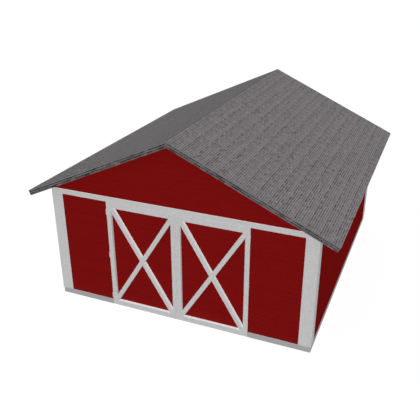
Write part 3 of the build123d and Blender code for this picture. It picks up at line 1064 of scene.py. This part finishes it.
courses = round(slopeLength / courseHeight)
lines = [0, *(slopeLength * i / courses + tabs["start"] for i in range(1, courses)), slopeLength]
for side, name in bothSides:
    look = slopeLooks[name]
    place = (ridgeLine, endways, *slopeAxes(side))
    pile = newPile()
    layTabs(pile, place, -roofHalf, roofHalf, lines, look, slopeLook, tabs["phase"])
    # the layer under the tabs
    section = [
        (roof["shingle"] * roofRise, -roof["shingle"]), (slopeLength, -roof["shingle"]),
        (slopeLength, -tabs["under"]), (tabs["under"] * roofRise, -tabs["under"]),
    ]
    addPrism(pile, place, section, -roofHalf, roofHalf, 0.0)
    pileToPiece(pile, f"{name}Shingles", "shingles", f"{name}_roof_shingles", shingles)

# the ridge is covered by a row of strips on each side and tabs folded over it, each lapping the last
ridge = {
    "rows": (
        {"from": 0.0, "to": 0.5, "lift": 1.0, "tone": 0.01, "shade": 0.75},
        {"from": 0.5, "to": 1.0, "lift": 0.6, "tone": -0.04, "shade": 0.9},
    ),
    "swing": 0.04,
    "inset": 0.002,
    "ragged": 0.002,
    "gap": 0.0015,
    "below": 0.0004,  # under the top of the cap
    "farLift": 0.45,  # the far end lies this low, under the next tab
    # painted shade on the step at each tab's near end
    "endDark": 0.5,
}
low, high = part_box("ridge_cap")
capReach = high.x / cosPitch - ridge["inset"]
capTop = (high.z - ridgeTop) * cosPitch
count = round((high.y - low.y) / tabs["width"])
step = (high.y - low.y) / count
pile = newPile()
for i in range(count):
    near, far = low.y + i * step, low.y + (i + 1) * step
    shift = within(grainReach[0])
    for side, name in bothSides:
        down, out = slopeAxes(side)
        for row in ridge["rows"]:
            tone = slopeLooks[name]["tone"] + rng.gauss(row["tone"], ridge["swing"])
            top, foot = row["from"] * capReach, row["to"] * capReach - rng.uniform(0, ridge["ragged"])
            first = len(pile["points"])
            for y, lift in ((near + ridge["gap"], capTop - ridge["below"]), (far, capTop * ridge["farLift"])):
                lift *= row["lift"]
                for reach, height in ((top, 0.0), (foot, 0.0), (foot, lift), (top, lift)):
                    # plumb at the ridge, square below it
                    rise = down * reach + out * height if reach else upward * (height / cosPitch)
                    pile["points"].append(ridgeLine + endways * y + rise)
                    pile["grain"].append([y + shift, -courseHeight if reach == top else 0, side])
            # the four sides, then the near end and the far one
            loops = [[0, 1, 5, 4], [1, 2, 6, 5], [2, 3, 7, 6], [3, 0, 4, 7], [3, 2, 1, 0], [4, 5, 6, 7]]
            for k, loop in enumerate(loops):
                corners = [first + c for c in (loop if side > 0 else loop[::-1])]
                addFace(pile, corners, tone, row["shade"], ridge["endDark"] if k == 4 and i > 0 else 0.0, 0)
pileToPiece(pile, "ridgeTabs", "shingles", "ridge_cap", shingles)
print("shingles ready")

# the roof's edges are boards faced with three short courses of tabs
roofEdge = {
    "lines": (0.0, 0.020, 0.078, 0.133),  # butts, below the shingle layer
    "facing": 0.0075,
    "boardTone": -0.5,
    "tones": (0.30, -0.04, -0.17),
    "swings": (0.06, 0.12, 0.16),
    "shades": ((0, 0), (0.85, 1.15), (0.5, 1.3)),
    "dark": 0.035,
    "darker": (0.14, 0.34),
}
edgeTop, facing = roof["shingle"], roofEdge["facing"]
edgeDepth = edgeTop + roofEdge["lines"][-1]


def edgeLook(look, course, tab):
    return rng.gauss(look["tones"][course], look["swings"][course]), rng.uniform(*look["shades"][course])


def faceEdge(pile, place, start, end, phase):
    layTabs(pile, place, start, end, roofEdge["lines"], roofEdge, edgeLook, phase, -facing)


for side, name in bothSides:
    node = f"{name}_rake_boards"
    down, out = slopeAxes(side)
    low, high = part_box(node)
    depth = levels(node, 1)[1] - low.y
    # plumb at the ridge, square at the eave, and painted except behind the tabs
    section = [(edgeTop, -facing), (edgeDepth, -facing), (edgeDepth, -depth), (edgeTop, -depth)]
    pile = newPile()
    for face, outward in ((low.y, -endways), (high.y, endways)):
        corner = ridgeLine + endways * face
        addPrism(
            pile, (corner, down, -out, outward), section, lambda v, w: v * roofRise, slopeLength - facing,
            roofEdge["boardTone"], finishes=[0, 1, 1, 1, 1, 0],
        )
        corner -= out * edgeTop
        faceEdge(pile, (corner, down, -out, outward), 0.0, slopeLength, rng.random())
        faceEdge(pile, (corner + down * slopeLength, -outward, -out, down), facing, depth, 0.0)
    pileToPiece(pile, f"{name}RakeEdge", "edge_shingles", node, edgeShingles, redPaint)

low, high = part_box("fascia_boards")
front, back = slopeLength - facing, slopeLength - roof["fascia"]
section = [(edgeTop, front), (edgeDepth, front), (edgeDepth, back), (edgeTop, back)]
pile = newPile()
for side in (-1, 1):
    down, out = slopeAxes(side)
    board = (ridgeLine, endways, -out, down)
    addPrism(pile, board, section, low.y, high.y, roofEdge["boardTone"], finishes=[0, 1, 1, 1, 1, 1])
    corner = ridgeLine - out * edgeTop + down * slopeLength
    faceEdge(pile, (corner, endways, -out, down), low.y, high.y, rng.random())
pileToPiece(pile, "fasciaEdge", "edge_shingles", "fascia_boards", edgeShingles, redPaint)
print("roof edges ready")

doorBoards = {
    "inset": 0.0008,  # of the boards from the meeting edge
    "narrowest": 0.1,  # narrower parts are no stiles
}


def paintHinges(node):
    nodes[node].data.materials.clear()
    nodes[node].data.materials.append(hingePaint)


for side, name in bothSides:
    body = f"{name}_door"
    for part in ("stiles", "rails", "rising_brace", "falling_brace"):
        easedPiece(f"{body}_{part}", "white_paint", whitePaint, body)
    low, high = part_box(f"{body}_panel")
    depth = high.y - low.y
    inset = doorBoards["inset"]
    limits = straight(low.x + inset * (side > 0), high.x - inset * (side < 0))
    pile = newPile()
    place = (endways * low.y, sideways, upward, -endways)
    layBoards(pile, place, depth, low.z, high.z, limits, [], bothFaces=True)
    # nailed from the back into the middles of the stiles
    found = levels(f"{body}_stiles", 0)
    stileWidth = min(b - a for a, b in zip(found, found[1:]) if b - a > doorBoards["narrowest"])
    stileMiddles = (found[0] + stileWidth / 2, found[-1] - stileWidth / 2)
    nailRows(pile, (endways * high.y, sideways, upward, endways), low.z, high.z, limits, stileMiddles)
    pileToPiece(pile, f"{name}DoorBoards", "red_paint", f"{body}_panel", redPaint, body=body)
    paintHinges(f"{body}_hinges")
paintHinges("jamb_hinges")
print("doors ready")

stageLook = {
    "floorRadius": 150,
    "floorSides": 48,
    "floorDrop": 0.0005,
    "floorColour": (0.172, 0.172, 0.172),
    "glow": 0.60,  # the camera sees this much plain white
    "shownColour": (0.27, 0.27, 0.27),  # and the floor in this colour, with the shadow on it
    "sky": 0.268,
    "sunWidth": 25,
    "key": {"strength": 4.910, "from": (0.313, -0.468, 0.826)},
    "fill": {"strength": 1.992, "from": (-0.528, 0.789, -0.316)},
}


def seenDirectly(tree):
    # 1 for what the camera sees, also in a mirror or through glass
    path = addNode(tree, "LightPath").outputs
    others = maths(tree, "MAXIMUM", path["Is Glossy Ray"], path["Is Transmission Ray"])
    return maths(tree, "MAXIMUM", path["Is Camera Ray"], others)


floorMesh = bpy.data.meshes.new("floor")
corners = circle(stageLook["floorRadius"], stageLook["floorSides"])
ring = [(x, y, -stageLook["floorDrop"]) for x, y in corners]
floorMesh.from_pydata(ring, [], [list(range(len(ring)))])
floor = newObject("floor", floorMesh)

floorPaint, tree = newMaterial("floorPaint")
plain = addNode(tree, "BsdfDiffuse", Color=stageLook["floorColour"])
shown = addNode(tree, "BsdfDiffuse", Color=stageLook["shownColour"])
glow = addNode(tree, "Emission", Strength=stageLook["glow"])
bright = addNode(tree, "AddShader")
choose = addNode(tree, "MixShader", Fac=seenDirectly(tree))
for node, *sources in ((bright, shown, glow), (choose, plain, bright)):
    for socket, source in zip(list(node.inputs)[-2:], sources):
        tree.links.new(source.outputs[0], socket)
addNode(tree, "OutputMaterial", Surface=choose.outputs[0])
floorMesh.materials.append(floorPaint)

world = bpy.data.worlds.new("studio")
scene.world = world
tree = emptyTree(world)
strength = spread(tree, seenDirectly(tree), 0.0, 1.0, stageLook["sky"], 1.0)
background = addNode(tree, "Background", Color=(1, 1, 1), Strength=strength)
addNode(tree, "OutputWorld", Surface=background.outputs[0])

for name in ("key", "fill"):
    sunData = bpy.data.lights.new(f"{name}Light", "SUN")
    sunData.energy = stageLook[name]["strength"]
    sunData.angle = math.radians(stageLook["sunWidth"])
    sunData.use_shadow = False
    sun = newObject(f"{name}Light", sunData)
    sun.rotation_euler = Vector(stageLook[name]["from"]).to_track_quat("Z", "Y").to_euler()

scene.view_settings.view_transform = "Standard"
print("stage ready")
